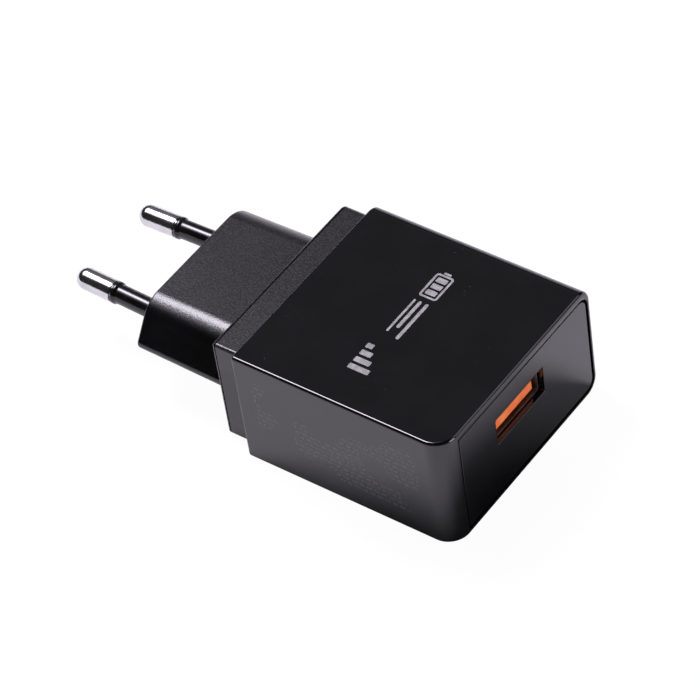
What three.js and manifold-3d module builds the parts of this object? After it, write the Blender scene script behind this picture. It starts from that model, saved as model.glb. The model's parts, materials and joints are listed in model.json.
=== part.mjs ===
// A two-pin European wall charger with one USB-A port, lying on its large face.
// Millimetres, +Z up. The USB face looks along -Y and the mains pins point along +Y.
import * as THREE from "three";
import { mergeVertices } from "three/addons/utils/BufferGeometryUtils.js";
import Module from "manifold-3d";

const wasm = await Module();
wasm.setup();

// ---- driving dimensions ----

// Outer shell: crisp edges on the -X side, rounded ones on the +X side.
const shellWidth = 42;
const shellLength = 42;
const shellHeight = 23.5;
const shellWall = 1.8;
const crispEdge = 0.4;
const softEdge = 3.0;
const frontCorner = 4.3;

// Front panel, set into the mouth of the shell.
const rimWidth = 0.75;
const rimTopWidth = 1.5;
const panelRecess = 0.2;
const panelThickness = 1.6;
const panelCorner = 0.6;

// Collar and plug body, moulded in one piece.
const collarLength = 5.5;
const collarSideInset = 2.0;
const collarTopDrop = 1.45;
const collarBottomRise = 0.8;
const collarCrispEdge = 0.6;
const collarSoftEdge = 1.6;
const collarEndWall = 2.0;
const spigotDepth = 4.0;
const spigotWall = 1.4;
const plugLength = 19;
const plugWidth = 35.7;
const plugFlatWidth = 26.1;
const plugThickness = 14.1;
const plugEdge = 3.5;
const plugWaistEdge = 1.2;
const plugWall = 1.8;
const plugEndWall = 2.5;
const plugDraft = 0.35;
const plugDrop = 0.725;

// Mains pins (EN 50075), which lean towards each other at the tips.
const pinLength = 19;
const pinDiameter = 4.0;
const pinPitchAtBody = 18.6;
const pinPitchAtTip = 17.5;
const pinCoreDiameter = 2.4;
const pinTail = 5.5;
const sleeveLength = 11;
const sleeveDiameter = 3.5;
const sleeveFlare = 0.9;

// USB-A receptacle.
const usbRise = 2.55;
const usbWidth = 12.5;
const usbHeight = 5.12;
const usbSheet = 0.3;
const usbLength = 13.7;
const usbBlockLength = 3.2;
const usbTongueWidth = 11.1;
const usbTongueThickness = 1.84;
const usbTongueLift = 0.66;
const usbTongueSetBack = 0.5;
const usbContactX = [-3.5, -1.0, 1.0, 3.5];
const usbContactWidth = 1.0;
const usbContactSheet = 0.25;
const usbContactSetBack = 0.9;
const usbContactRib = 0.2;
const usbContactRibLength = 1.2;
const springWindow = { width: 2.2, length: 4, x: 3.2, y: 6.5 };
const usbLeadIn = 0.5;
const mouthEase = 0.1;
const usbBossWall = 1.1;
const usbBossDepth = 1.6;

// Circuit boards and what lies under and over them.
const railHeight = 0.6;
const railWidth = 1.4;
const railInset = 4;
const sheetThickness = 0.4;
const boardThickness = 1.2;
const boardMargin = 0.8;
const outputBoardThickness = 1.0;
const outputBoardWidth = 22;
const outputBoardHeadroom = 2.0;
const outputChipThickness = 1.1;
const outputChipDrop = 2.6;

// Transformer.
const coreWidth = 17;
const coreLength = 14;
const coreLeg = 2.6;
const coreMiddleLeg = 4.4;
const coreBack = 2.8;
const coreOffCentre = 0.1;
const bobbinWall = 0.6;
const bobbinFlange = 0.7;
const windingBuild = 2.0;
const tapeThickness = 0.3;
const coreToOutputBoard = 2.4;

// Round parts. Rows are the gaps from one part to the next.
const bulkDiameter = 8;
const bulkLength = 12;
const outputCapDiameter = 6.3;
const outputCapLength = 9;
const discDiameter = 6.5;
const varistorDiameter = 7;
const discThickness = 2.4;
const chokeDiameter = 4.4;
const chokeHeight = 7;
const resistorDiameter = 3;
const resistorLength = 8.5;
const discEdge = 0.8;
const chokeFlange = 1;
const chokeWaist = 1;
const canGroove = 0.35;
const rowGap = 1;
const rearRowGap = 2.4;
const capGap = 0.8;
const leadDiameter = 1.2;
const outputLeadDiameter = 1.0;

// Heat spreader.
const spreaderThickness = 0.6;
const spreaderLipClear = 3.1;
const spreaderMargin = 1;
const spreaderSideMargin = 1.5;
const padThickness = 0.5;

// Clearances.
const fitGap = 0.3;
const restGap = 0.2;
const solderGap = 0.2;
const sleeveGap = 0.25;
const discLift = 0.6;
const joinOverlap = 0.2;
const overcut = 1;

// ---- derived places, with Y measured from the front face of the shell ----

const half = (size) => size / 2;
const overallLength = shellLength + collarLength + plugLength + pinLength;
const collarEnd = shellLength + collarLength;
const plugEnd = collarEnd + plugLength;
const ledge = panelRecess + panelThickness + fitGap;
const cavityHalf = half(shellWidth) - shellWall;
const cavityTop = shellHeight - shellWall;
const collarTop = shellHeight - collarTopDrop;
const plugAxisZ = half(collarTop + collarBottomRise) - plugDrop;
const sleeveBore = pinCoreDiameter + 2 * sleeveGap;
const usbCentreZ = half(shellHeight) + usbRise;
const usbFront = panelRecess + half(panelThickness) + fitGap;
const usbBack = usbFront + usbLength;
const sheetZ = shellWall + railHeight + fitGap;
const boardZ = sheetZ + sheetThickness + restGap;
const boardTop = boardZ + boardThickness;
const partZ = boardTop + solderGap;
const boardFront = ledge + boardMargin;
const boardBack = shellLength - spigotDepth - boardMargin;
const outputBoardY = usbBack + fitGap;
const outputBoardBack = outputBoardY + outputBoardThickness;
const outputBoardHeight = cavityTop - outputBoardHeadroom - partZ;
const spreaderZ = cavityTop - fitGap - spreaderThickness;
const transformerX = -coreOffCentre - half(coreWidth);
const transformerY = outputBoardBack + coreToOutputBoard + half(coreLength);
const windowLength = coreLength - 2 * coreBack;
const wrapHeight = tapeThickness + restGap;
const windingHeight = spreaderZ - partZ - 2 * wrapHeight - 3 * restGap - padThickness;
const coreHeight = windingHeight - 2 * (restGap + bobbinWall + restGap + windingBuild);
const transformerZ = partZ + half(windingHeight) + wrapHeight + restGap;
const windingTop = transformerZ + half(windingHeight);
const tapeTop = windingTop + wrapHeight;
const lipBottom = partZ + discLift + varistorDiameter + spreaderLipClear;

// ---- geometry helpers ----

// A closed outline from corners [x, y, radius], counter-clockwise, with tangent arcs.
function outline(corners) {
  const shape = new THREE.Shape();
  corners.forEach(([x, y, radius], i) => {
    const corner = new THREE.Vector2(x, y);
    const [bx, by] = corners[(i + corners.length - 1) % corners.length];
    const [ax, ay] = corners[(i + 1) % corners.length];
    const toBefore = new THREE.Vector2(bx, by).sub(corner).normalize();
    const toAfter = new THREE.Vector2(ax, ay).sub(corner).normalize();
    const place = i ? "lineTo" : "moveTo";
    if (!radius) {
      shape[place](x, y);
      return;
    }
    const halfAngle = Math.acos(toBefore.dot(toAfter)) / 2;
    const reach = radius / Math.tan(halfAngle);
    const start = toBefore.clone().multiplyScalar(reach).add(corner);
    const end = toAfter.clone().multiplyScalar(reach).add(corner);
    const centre = toBefore
      .clone()
      .add(toAfter)
      .normalize()
      .multiplyScalar(radius / Math.sin(halfAngle))
      .add(corner);
    shape[place](start.x, start.y);
    shape.absarc(
      centre.x,
      centre.y,
      radius,
      start.clone().sub(centre).angle(),
      end.clone().sub(centre).angle(),
      false,
    );
  });
  return shape;
}

function rectangle(x0, y0, x1, y1, radii = [0, 0, 0, 0]) {
  return outline([
    [x0, y0, radii[0]],
    [x1, y0, radii[1]],
    [x1, y1, radii[2]],
    [x0, y1, radii[3]],
  ]);
}

const extrude = (shape, depth, curveSegments = 3) =>
  new THREE.ExtrudeGeometry(shape, { depth, curveSegments, bevelEnabled: false });

// An XZ section carried from y0 to y1.
const alongY = (shape, y0, y1, curveSegments) =>
  extrude(shape, y1 - y0, curveSegments).rotateX(Math.PI / 2).translate(0, y1, 0);

// An XY section carried from z0 to z1.
const alongZ = (shape, z0, z1, curveSegments) =>
  extrude(shape, z1 - z0, curveSegments).translate(0, 0, z0);

// A YZ section carried from x0 to x1.
function alongX(shape, x0, x1, curveSegments) {
  const turn = new THREE.Matrix4().makeBasis(
    new THREE.Vector3(0, 1, 0),
    new THREE.Vector3(0, 0, 1),
    new THREE.Vector3(1, 0, 0),
  );
  return extrude(shape, x1 - x0, curveSegments).applyMatrix4(turn).translate(x0, 0, 0);
}

const block = (width, length, height) => new THREE.BoxGeometry(width, length, height);

// A turned piece about the Y axis, from [radius, y] pairs.
const turned = (profile, sides = 24) =>
  new THREE.LatheGeometry(profile.map(([r, y]) => new THREE.Vector2(r, y)), sides);

// A round wire along a smooth curve through points.
function wire(points, diameter) {
  const path = new THREE.CatmullRomCurve3(points.map((p) => new THREE.Vector3(...p)));
  const section = new THREE.Shape().absarc(0, 0, half(diameter), 0, 2 * Math.PI, false);
  return new THREE.ExtrudeGeometry(section, { steps: 12, curveSegments: 4, extrudePath: path });
}

// ---- solid joins and cuts ----

function solid(geometry) {
  const bare = new THREE.BufferGeometry();
  const flat = geometry.index ? geometry.toNonIndexed() : geometry;
  bare.setAttribute("position", flat.getAttribute("position"));
  const merged = mergeVertices(bare, 1e-4);
  return new wasm.Manifold(
    new wasm.Mesh({
      numProp: 3,
      vertProperties: merged.attributes.position.array,
      triVerts: new Uint32Array(merged.index.array),
    }),
  );
}

function surface(made) {
  const mesh = made.getMesh();
  const geometry = new THREE.BufferGeometry();
  geometry.setAttribute("position", new THREE.BufferAttribute(mesh.vertProperties, 3));
  geometry.setIndex(new THREE.BufferAttribute(mesh.triVerts, 1));
  geometry.computeVertexNormals();
  return geometry;
}

const join = (first, ...others) =>
  surface(others.reduce((sum, other) => sum.add(solid(other)), solid(first)));
const cut = (first, ...others) =>
  surface(others.reduce((rest, other) => rest.subtract(solid(other)), solid(first)));
const overlapOf = (first, second) => surface(solid(first).intersect(solid(second)));

// ---- materials ----

const finish = (color, roughness, metalness = 0) => () =>
  new THREE.MeshStandardMaterial({ color, roughness, metalness });

const glossyBlack = finish(0x0b0b0d, 0.12);
const texturedBlack = finish(0x141416, 0.6);
const nickel = finish(0xd6d6d8, 0.18, 1);
const orangePlastic = finish(0xf0642a, 0.4);
const steelSheet = finish(0xb4b6ba, 0.3, 1);
const gold = finish(0xd8a848, 0.25, 1);
const boardGreen = finish(0x1d5a35, 0.45);
const chipBlack = finish(0x1a1a1b, 0.55);
const ferrite = finish(0x2b2a2c, 0.7);
const bobbinBlack = finish(0x232325, 0.5);
const copperWire = finish(0xa85a2c, 0.35, 1);
const tapeYellow = finish(0xe2c23a, 0.4);
const sleeveFilm = finish(0x20242e, 0.35);
const aluminium = finish(0xc8cacc, 0.35, 1);
const discBlue = finish(0x2b62b0, 0.4);
const discGreen = finish(0x2f7a52, 0.4);
const resistorTan = finish(0xb9a888, 0.6);
const padGrey = finish(0x8d97a4, 0.8);
const filmWhite = finish(0xd9d9d4, 0.5);
const wireRed = finish(0xa8262a, 0.45);
const wireBlack = finish(0x18181a, 0.45);

// ---- scene graph ----

const charger = new THREE.Group();
const body = new THREE.Group();
body.position.y = -overallLength / 2;
charger.add(body);

function add(name, geometry, material, place = [0, 0, 0], parent = body) {
  const mesh = new THREE.Mesh(geometry, material());
  mesh.name = name;
  mesh.position.set(...place);
  parent.add(mesh);
  return mesh;
}

// ---- outer shell ----

const softInner = softEdge - shellWall;

function shellSection() {
  const w = half(shellWidth);
  return rectangle(-w, 0, w, shellHeight, [crispEdge, softEdge, softEdge, crispEdge]);
}

// The panel's outline, grown by a margin to make the mouth that it sits in.
function panelOutline(margin) {
  const left = -half(shellWidth) + frontCorner;
  const right = half(shellWidth) - rimWidth - fitGap;
  const bottom = rimWidth + fitGap;
  const top = shellHeight - rimTopWidth - fitGap;
  const soft = softEdge - rimWidth - fitGap + margin;
  const crisp = panelCorner + margin;
  const radii = [crisp, soft, soft, crisp];
  return rectangle(left - margin, bottom - margin, right + margin, top + margin, radii);
}

function mainShell() {
  const w = half(shellWidth);
  const plan = rectangle(-w, 0, w, shellLength, [frontCorner, 0, 0, 0]);
  const outer = overlapOf(
    alongY(shellSection(), 0, shellLength),
    alongZ(plan, 0, shellHeight, 5),
  );
  const cavity = rectangle(-cavityHalf, shellWall, cavityHalf, cavityTop, [0, softInner, softInner, 0]);
  const hollow = cut(
    outer,
    alongY(cavity, ledge, shellLength + overcut),
    alongY(panelOutline(fitGap), -overcut, ledge + 0.01),
  );
  const rails = [-1, 1].map((side) => {
    const x = side * (cavityHalf - railInset);
    const low = shellWall - joinOverlap;
    const rail = block(railWidth, boardBack - boardFront, sheetZ - fitGap - low);
    return rail.translate(x, half(boardFront + boardBack), half(low + sheetZ - fitGap));
  });
  return join(hollow, ...rails);
}

add("main_shell", mainShell(), glossyBlack);

// ---- front panel ----

// A four-sided funnel that opens towards the front.
function leadIn(width, height, flare) {
  const funnel = block(width, flare, height);
  const position = funnel.getAttribute("position");
  for (let i = 0; i < position.count; i += 1) {
    if (position.getY(i) > 0) continue;
    position.setX(i, position.getX(i) + Math.sign(position.getX(i)) * flare);
    position.setZ(i, position.getZ(i) + Math.sign(position.getZ(i)) * flare);
  }
  return funnel;
}

const mouthWidth = usbWidth + mouthEase;
const mouthHeight = usbHeight + mouthEase;
const pocketWidth = usbWidth + 2 * (usbSheet + restGap);
const pocketHeight = usbHeight + 2 * (usbSheet + restGap);

function frontPanel() {
  const face = panelRecess;
  const back = face + panelThickness;
  const plate = alongY(panelOutline(0), face, back);
  const boss = block(
    pocketWidth + 2 * usbBossWall,
    usbBossDepth + joinOverlap,
    pocketHeight + 2 * usbBossWall,
  ).translate(0, back + half(usbBossDepth - joinOverlap), usbCentreZ);
  const mouth = block(mouthWidth, 4 * panelThickness, mouthHeight).translate(0, back, usbCentreZ);
  const funnelY = face + half(usbLeadIn) - 0.01;
  const funnel = leadIn(mouthWidth, mouthHeight, usbLeadIn).translate(0, funnelY, usbCentreZ);
  const pocketDepth = back + usbBossDepth - usbFront + fitGap;
  const pocket = block(pocketWidth, pocketDepth + overcut, pocketHeight).translate(
    0,
    usbFront - fitGap + half(pocketDepth + overcut),
    usbCentreZ,
  );
  return cut(join(plate, boss), mouth, funnel, pocket);
}

add("front_panel", frontPanel(), glossyBlack);

// ---- collar and plug body ----

function plugSection(inset) {
  const flat = half(plugFlatWidth) - 0.41 * inset;
  const waist = half(plugWidth) - 1.35 * inset;
  const rise = half(plugThickness) - inset;
  const edge = Math.max(plugEdge - inset, 0.2);
  const waistEdge = Math.max(plugWaistEdge - inset, 0.2);
  return outline(
    [
      [-flat, -rise, edge],
      [flat, -rise, edge],
      [waist, 0, waistEdge],
      [flat, rise, edge],
      [-flat, rise, edge],
      [-waist, 0, waistEdge],
    ].map(([x, z, radius]) => [x, z + plugAxisZ, radius]),
  );
}

// Narrows a plug solid evenly about its axis, by the draft at the pin end.
function drafted(geometry) {
  const position = geometry.getAttribute("position");
  for (let i = 0; i < position.count; i += 1) {
    const share = (plugDraft * (position.getY(i) - collarEnd)) / plugLength;
    position.setX(i, position.getX(i) * (1 - share / half(plugWidth)));
    position.setZ(i, plugAxisZ + (position.getZ(i) - plugAxisZ) * (1 - share / half(plugThickness)));
  }
  return geometry;
}

const pinLean = Math.atan(half(pinPitchAtBody - pinPitchAtTip) / pinLength);

// Sets a piece turned about Y onto a pin's line; side is -1 or 1.
function placeOnPin(object, side) {
  object.position.set((side * pinPitchAtBody) / 2, plugEnd, plugAxisZ);
  object.rotation.z = side * pinLean;
  return object;
}

function pinBore(side) {
  const bore = new THREE.CylinderGeometry(
    half(sleeveDiameter) + restGap,
    half(sleeveDiameter) + restGap,
    4 * plugEndWall,
    24,
  );
  const frame = placeOnPin(new THREE.Object3D(), side);
  frame.updateMatrix();
  return bore.applyMatrix4(frame.matrix);
}

function plugHousing() {
  const collarHalf = half(shellWidth) - collarSideInset;
  const collarRadii = [collarCrispEdge, collarSoftEdge, collarSoftEdge, collarCrispEdge];
  const collar = rectangle(-collarHalf, collarBottomRise, collarHalf, collarTop, collarRadii);
  const spigotHalf = cavityHalf - fitGap;
  const spigotLow = shellWall + fitGap;
  const spigotHigh = cavityTop - fitGap;
  const spigot = rectangle(-spigotHalf, spigotLow, spigotHalf, spigotHigh, [0, softInner, softInner, 0]);
  const room = rectangle(
    -spigotHalf + spigotWall,
    spigotLow + spigotWall,
    spigotHalf - spigotWall,
    spigotHigh - spigotWall,
  );
  const start = shellLength - spigotDepth;
  const outside = join(
    alongY(collar, shellLength + fitGap, collarEnd),
    alongY(spigot, start, shellLength + fitGap + joinOverlap),
    drafted(alongY(plugSection(0), collarEnd - joinOverlap, plugEnd, 4)),
  );
  return cut(
    outside,
    alongY(room, start - overcut, collarEnd - collarEndWall),
    drafted(alongY(plugSection(plugWall), start - overcut, plugEnd - plugEndWall, 2)),
    pinBore(-1),
    pinBore(1),
  );
}

add("plug_housing", plugHousing(), texturedBlack);

// ---- mains pins ----

function pinProfile() {
  const r = half(pinDiameter);
  const tip = [];
  const tipSteps = 6;
  for (let i = 0; i <= tipSteps; i += 1) {
    const turn = (i / tipSteps) * (Math.PI / 2);
    tip.push([r * Math.cos(turn), pinLength - r + r * Math.sin(turn)]);
  }
  tip[tipSteps][0] = 0;
  const core = half(pinCoreDiameter);
  return [[0, -pinTail], [core, -pinTail], [core, sleeveLength], [r, sleeveLength], ...tip];
}

function sleeveProfile() {
  const bore = half(sleeveBore);
  const outer = half(sleeveDiameter);
  const start = -plugEndWall + restGap;
  const end = sleeveLength - restGap;
  return [
    [bore, start],
    [outer, start],
    [outer, end - sleeveFlare],
    [half(pinDiameter), end - 0.2],
    [half(pinDiameter), end],
    [bore, end],
    [bore, start],
  ];
}

for (const [side, word] of [[-1, "left"], [1, "right"]]) {
  placeOnPin(add("pin_" + word, turned(pinProfile()), nickel), side);
  placeOnPin(add("pin_sleeve_" + word, turned(sleeveProfile()), texturedBlack), side);
}

// ---- USB receptacle ----

const usb = new THREE.Group();
usb.position.set(0, usbFront, usbCentreZ);
body.add(usb);

// The height of the tongue's contact face over the receptacle's middle.
const tongueBottom = -half(usbHeight) + usbTongueLift;
const tongueTop = tongueBottom + usbTongueThickness;

function usbShell() {
  const width = usbWidth + 2 * usbSheet;
  const height = usbHeight + 2 * usbSheet;
  const tube = block(width, usbLength, height).translate(0, half(usbLength), 0);
  const room = block(usbWidth, usbLength + 2 * overcut, usbHeight).translate(0, half(usbLength), 0);
  const { width: windowWidth, length: windowReach, x: windowX, y: windowY } = springWindow;
  const windows = [-1, 1].flatMap((side) =>
    [-1, 1].map((x) =>
      block(windowWidth, windowReach, overcut).translate(
        x * windowX,
        windowY,
        side * half(usbHeight + usbSheet),
      ),
    ),
  );
  return cut(tube, room, ...windows);
}

function usbInsulator() {
  const blockStart = usbLength - usbBlockLength;
  const back = block(usbWidth - 2 * restGap, usbBlockLength, usbHeight - 2 * restGap).translate(
    0,
    blockStart + half(usbBlockLength),
    0,
  );
  const tongueLength = blockStart - usbTongueSetBack + joinOverlap;
  const tongue = block(usbTongueWidth, tongueLength, usbTongueThickness).translate(
    0,
    usbTongueSetBack + half(tongueLength),
    half(tongueBottom + tongueTop),
  );
  const slots = usbContactX.map((x) =>
    block(
      usbContactWidth + 2 * restGap,
      usbBlockLength + 2 * overcut,
      usbContactSheet + 2 * restGap,
    ).translate(
      x,
      blockStart + half(usbBlockLength),
      tongueTop + half(usbContactSheet) + restGap,
    ),
  );
  return cut(join(back, tongue), ...slots);
}

// A contact's side profile: flat along the tongue, with a shallow raised rib near its tip.
function contactProfile() {
  const start = usbTongueSetBack + usbContactSetBack;
  const end = usbLength - restGap;
  const low = tongueTop + restGap;
  const top = low + usbContactSheet;
  const step = usbContactRibLength;
  return outline([
    [start, low, 0],
    [end, low, 0],
    [end, top, 0],
    [start + 3 * step, top, 0],
    [start + 2 * step, top + usbContactRib, 0],
    [start + step, top + usbContactRib, 0],
    [start, top, 0],
  ]);
}

add("usb_shell", usbShell(), steelSheet, [0, 0, 0], usb);
add("usb_tongue", usbInsulator(), orangePlastic, [0, 0, 0], usb);
usbContactX.forEach((x, i) => {
  const contact = alongX(contactProfile(), -half(usbContactWidth), half(usbContactWidth));
  add("usb_contact_" + (i + 1), contact, gold, [x, 0, 0], usb);
});

// ---- boards ----

const boardWidth = 2 * (cavityHalf - boardMargin);
const boardLength = boardBack - boardFront;
const boardMiddle = boardFront + half(boardLength);

add(
  "insulation_sheet",
  block(boardWidth - 1, boardLength, sheetThickness),
  filmWhite,
  [0, boardMiddle, sheetZ + half(sheetThickness)],
);
add(
  "main_board",
  block(boardWidth, boardLength, boardThickness),
  boardGreen,
  [0, boardMiddle, boardZ + half(boardThickness)],
);
add(
  "output_board",
  block(outputBoardWidth, outputBoardThickness, outputBoardHeight),
  boardGreen,
  [0, outputBoardY + half(outputBoardThickness), partZ + half(outputBoardHeight)],
);

// ---- transformer ----

const transformer = new THREE.Group();
transformer.position.set(transformerX, transformerY, transformerZ);
body.add(transformer);

// Half of an E-E core whose legs reach from y = -coreLength / 2 to the middle.
function coreHalf() {
  const w = half(coreWidth);
  const m = half(coreMiddleLeg);
  const back = -half(coreLength);
  const inner = back + coreBack;
  const face = -half(restGap);
  return alongZ(
    outline([
      [-w, back, 0],
      [w, back, 0],
      [w, face, 0],
      [w - coreLeg, face, 0],
      [w - coreLeg, inner, 0],
      [m, inner, 0],
      [m, face, 0],
      [-m, face, 0],
      [-m, inner, 0],
      [-w + coreLeg, inner, 0],
      [-w + coreLeg, face, 0],
      [-w, face, 0],
    ]),
    -half(coreHeight),
    half(coreHeight),
  );
}

add("transformer_core_front", coreHalf(), ferrite, [0, 0, 0], transformer);
add("transformer_core_rear", coreHalf(), ferrite, [0, 0, 0], transformer).rotation.z = Math.PI;

// A ring around the middle leg: a rounded outline at one offset minus one at a smaller offset.
const legRing = (offset, radius) =>
  rectangle(
    -half(coreMiddleLeg) - offset,
    -half(coreHeight) - offset,
    half(coreMiddleLeg) + offset,
    half(coreHeight) + offset,
    [radius, radius, radius, radius],
  );

function ringAlongY(inner, outer, length, innerRadius, outerRadius) {
  return cut(
    alongY(legRing(outer, outerRadius), -half(length), half(length), 2),
    alongY(legRing(inner, innerRadius), -half(length) - overcut, half(length) + overcut, 2),
  );
}

const boreOffset = restGap;
const tubeOffset = boreOffset + bobbinWall;
const windingOffset = tubeOffset + restGap;
const windingOuter = windingOffset + windingBuild;
const tapeInner = windingOuter + restGap;
const bobbinLength = windowLength - 2 * restGap;
const windingLength = bobbinLength - 2 * (bobbinFlange + restGap);

function bobbin() {
  const tube = alongY(legRing(tubeOffset, 0.4), -half(bobbinLength), half(bobbinLength), 1);
  const flangeWidth = coreWidth - 2 * (coreLeg + restGap);
  const flangeHeight = coreHeight + 2 * windingOuter;
  const flanges = [-1, 1].map((side) =>
    block(flangeWidth, bobbinFlange, flangeHeight).translate(0, side * half(bobbinLength - bobbinFlange), 0),
  );
  const bore = block(coreMiddleLeg + 2 * boreOffset, coreLength, coreHeight + 2 * boreOffset);
  return cut(join(tube, ...flanges), bore);
}

add("transformer_bobbin", bobbin(), bobbinBlack, [0, 0, 0], transformer);
add(
  "transformer_winding",
  ringAlongY(windingOffset, windingOuter, windingLength, 0.6, 1.4),
  copperWire,
  [0, 0, 0],
  transformer,
);
add(
  "transformer_tape",
  ringAlongY(tapeInner, tapeInner + tapeThickness, windingLength, 1.6, 1.9),
  tapeYellow,
  [0, 0, 0],
  transformer,
);

// ---- capacitors ----

// A can about +Y with a rolled groove near its base and a soft top edge.
function canProfile(diameter, length) {
  const r = half(diameter);
  return [
    [0, 0],
    [r - 0.4, 0],
    [r, 0.4],
    [r, 1.2],
    [r - canGroove, 1.6],
    [r, 2.0],
    [r, length - 0.5],
    [r - 0.5, length],
    [0, length],
  ];
}

const bulkX = [transformerX + half(coreWidth) + 1.2 + half(bulkDiameter)];
bulkX.push(bulkX[0] + bulkDiameter + capGap);
const bulkY = outputBoardBack + 2 * rowGap + discThickness;
bulkX.forEach((x, i) => {
  add(
    "bulk_capacitor_" + (i + 1),
    turned(canProfile(bulkDiameter, bulkLength)),
    sleeveFilm,
    [x, bulkY, partZ + half(bulkDiameter)],
  );
});

const outputCapX = half(usbWidth) + 2.4 + half(outputCapDiameter);
[-outputCapX, outputCapX].forEach((x, i) => {
  const can = turned(canProfile(outputCapDiameter, outputCapLength)).rotateX(Math.PI / 2);
  add("output_capacitor_" + (i + 1), can, aluminium, [x, boardFront + 6, partZ]);
});

// A coated disc standing on edge, its faces along Y.
function disc(diameter) {
  const r = half(diameter);
  const t = half(discThickness);
  const side = 0.3 * t;
  return turned([[0, -t], [r - discEdge, -t], [r, -side], [r, side], [r - discEdge, t], [0, t]]);
}

const rearRow = transformerY + half(coreLength) + rearRowGap;
add("y_capacitor", disc(discDiameter), discBlue, [
  bulkX[1] - 1.5,
  outputBoardBack + rowGap + half(discThickness),
  partZ + half(discDiameter) + discLift,
]);
add("varistor", disc(varistorDiameter), discGreen, [
  bulkX[1] - 0.8,
  rearRow,
  partZ + half(varistorDiameter) + discLift,
]);

// ---- input parts ----

function drumProfile() {
  const r = half(chokeDiameter);
  const flange = chokeFlange;
  const waist = chokeWaist;
  return [
    [0, 0],
    [r, 0],
    [r, flange],
    [waist, flange],
    [waist, chokeHeight - flange],
    [r, chokeHeight - flange],
    [r, chokeHeight],
    [0, chokeHeight],
  ];
}

function drumWindingProfile() {
  const inner = chokeWaist + restGap;
  const outer = half(chokeDiameter) - restGap;
  const low = chokeFlange + restGap;
  const high = chokeHeight - low;
  return [
    [inner, low],
    [outer, low],
    [outer, high],
    [inner, high],
    [inner, low],
  ];
}

const chokePlace = [transformerX - half(coreWidth) - 0.5 + half(chokeDiameter), rearRow, partZ];
add("filter_choke_core", turned(drumProfile()).rotateX(Math.PI / 2), ferrite, chokePlace);
add("filter_choke_winding", turned(drumWindingProfile()).rotateX(Math.PI / 2), copperWire, chokePlace);

function resistorProfile() {
  const r = half(resistorDiameter);
  const l = half(resistorLength);
  return [
    [0, -l],
    [r - 0.4, -l],
    [r, -l + 0.6],
    [r, -l + 1.6],
    [r - 0.25, -l + 2.2],
    [r - 0.25, l - 2.2],
    [r, l - 1.6],
    [r, l - 0.6],
    [r - 0.4, l],
    [0, l],
  ];
}

const resistorPlace = [
  chokePlace[0] + half(chokeDiameter) + rowGap + half(resistorLength),
  rearRow,
  partZ + half(resistorDiameter),
];
add("fusible_resistor", turned(resistorProfile(), 16).rotateZ(-Math.PI / 2), resistorTan, resistorPlace);

// ---- chips and small surface parts on the main board: [name, size, x, y, material] ----

const bridgeX = resistorPlace[0] + half(resistorLength) + 7;
const smallRowY = outputBoardBack + 1.2;
const boardChips = [
  ["bridge_rectifier", [4.7, 3.8, 1.5], bridgeX, rearRow, chipBlack],
  ["snubber_diode", [2.7, 1.6, 1.1], transformerX - 6.5, smallRowY, chipBlack],
  ["snubber_capacitor", [3.2, 1.6, 1.3], transformerX - 2.7, smallRowY, resistorTan],
  ["controller_chip", [4.9, 2.9, 1.5], transformerX + half(coreWidth) + 4, outputBoardBack + 2.2, chipBlack],
  ["optocoupler", [6.5, 4.6, 3.3], 0, usbBack - 3.6, chipBlack],
  ["sense_resistor", [6.3, 3.2, 0.6], 0, boardFront + 2.6, chipBlack],
];
for (const [name, [width, length, height], x, y, material] of boardChips)
  add(name, block(width, length, height), material, [x, y, partZ + half(height)]);

// Chips on the back of the output board, below the leads: [name, width, height, x].
const outputLeadZ = transformerZ + half(coreHeight) + 1.2;
const outputChipTop = outputLeadZ - outputChipDrop;
const outputChips = [
  ["sync_rectifier_chip", 5, 6, -5.5],
  ["protocol_chip", 4.9, 3.9, 4],
];
for (const [name, width, height, x] of outputChips)
  add(name, block(width, outputChipThickness, height), chipBlack, [
    x,
    outputBoardBack + restGap + half(outputChipThickness),
    outputChipTop - half(height),
  ]);

// ---- heat path above the transformer ----

add(
  "thermal_pad",
  block(coreMiddleLeg + 2 * windingOuter, windingLength, padThickness),
  padGrey,
  [transformerX, transformerY, half(tapeTop + spreaderZ)],
);

function heatSpreader() {
  const front = outputBoardBack + spreaderMargin;
  const back = boardBack - spreaderMargin;
  const top = spreaderZ + spreaderThickness;
  const side = outline([
    [front, spreaderZ, 0],
    [back - spreaderThickness, spreaderZ, 0],
    [back - spreaderThickness, lipBottom, 0],
    [back, lipBottom, 0],
    [back, top, 0],
    [front, top, 0],
  ]);
  const reach = half(boardWidth) - spreaderSideMargin;
  return alongX(side, -reach, reach);
}

add("heat_spreader", heatSpreader(), aluminium);

// ---- leads ----

const pinTailX = half(pinPitchAtBody) + pinTail * Math.tan(pinLean);
const pinTailY = plugEnd - pinTail * Math.cos(pinLean);
const leadLandings = [
  [-1, "left", wireBlack, bridgeX - 4.7],
  [1, "right", wireRed, bridgeX + 4.3],
];
for (const [side, word, material, landX] of leadLandings) {
  const route = [
    [side * pinTailX, pinTailY - fitGap, plugAxisZ],
    [side * (pinTailX - 0.3), pinTailY - 6, plugAxisZ - 0.3],
    [(side * pinTailX + landX) / 2, collarEnd - 1, plugAxisZ - 1.2],
    [landX, shellLength - 1, plugAxisZ - 1.7],
    [landX, boardBack - 1.6, partZ + 3.2],
    [landX, boardBack - 1.6, partZ],
  ];
  add("ac_lead_" + word, wire(route, leadDiameter), material);
}

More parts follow.
